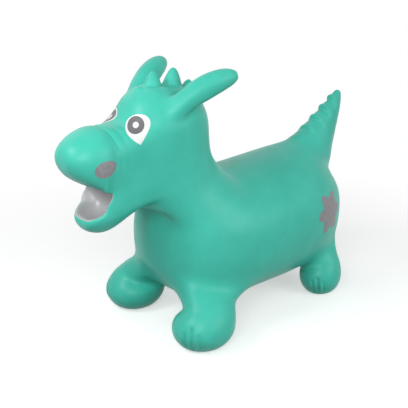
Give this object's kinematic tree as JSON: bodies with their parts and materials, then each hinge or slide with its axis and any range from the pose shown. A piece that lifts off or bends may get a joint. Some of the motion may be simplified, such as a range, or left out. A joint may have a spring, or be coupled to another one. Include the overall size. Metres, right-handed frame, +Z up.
{
  "type": "bouncy ride-on animal",
  "caption": "Inflatable hopping animal a small child sits astride, with two horns to hold, a flexing tail, squashing legs and an air valve under the belly.",
  "frame": {"origin": "on the ground, under the middle of the toy's bounding box", "axes": "+Z up, the animal faces -Y, +X to its left"},
  "size_m": [0.2762, 0.5938, 0.4254],
  "materials": {
    "teal_vinyl": "soft satin turquoise vinyl",
    "natural_vinyl": "milky uncoloured vinyl",
    "silver_paint": "glossy silver grey paint",
    "grey_paint": "satin grey paint",
    "white_paint": "satin white paint"
  },
  "bodies": {
    "feet": {"front_left_foot": "teal_vinyl", "front_right_foot": "teal_vinyl", "rear_left_foot": "teal_vinyl", "rear_right_foot": "teal_vinyl", "front_left_leg": "teal_vinyl", "front_right_leg": "teal_vinyl", "rear_left_leg": "teal_vinyl", "rear_right_leg": "teal_vinyl"},
    "torso": {"torso_skin": "teal_vinyl", "head_skin": "teal_vinyl", "left_horn_band": "teal_vinyl", "right_horn_band": "teal_vinyl", "tail_band": "teal_vinyl", "valve_seat": "natural_vinyl", "mouth_lining": "silver_paint", "left_eye_white": "white_paint", "right_eye_white": "white_paint", "left_eye_ring": "grey_paint", "right_eye_ring": "grey_paint", "left_nostril": "grey_paint", "right_nostril": "grey_paint", "left_rump_mark": "grey_paint", "right_rump_mark": "grey_paint"},
    "left_horn": {"left_horn": "teal_vinyl"},
    "right_horn": {"right_horn": "teal_vinyl"},
    "tail": {"tail": "teal_vinyl"},
    "valve_plug": {"valve_plug": "natural_vinyl"}
  },
  "joints": [
    {"name": "bounce", "type": "slide", "parent": "feet", "child": "torso", "axis": [0, 0, 1], "range_m": [-0.02, 0], "stiffness_N_per_m": 6000, "springref_m": 0.0026, "deforming": ["front_left_leg", "front_right_leg", "rear_left_leg", "rear_right_leg"]},
    {"name": "left_horn_flex", "type": "hinge", "parent": "torso", "child": "left_horn", "pos_m": [0.0573, -0.11952, 0.38023], "axis": [1, 0, 0], "range_deg": [-20, 20], "stiffness_Nm_per_rad": 3, "deforming": ["left_horn_band"]},
    {"name": "right_horn_flex", "type": "hinge", "parent": "torso", "child": "right_horn", "pos_m": [-0.0573, -0.11952, 0.38023], "axis": [1, 0, 0], "range_deg": [-20, 20], "stiffness_Nm_per_rad": 3, "deforming": ["right_horn_band"]},
    {"name": "tail_wag", "type": "hinge", "parent": "torso", "child": "tail", "pos_m": [0, 0.23043, 0.25078], "axis": [0, 0.8385, -0.5449], "range_deg": [-20, 20], "stiffness_Nm_per_rad": 3, "deforming": ["tail_band"]},
    {"name": "plug_out", "type": "slide", "parent": "torso", "child": "valve_plug", "axis": [0, 0, -1], "range_m": [0, 0.012]}
  ]
}
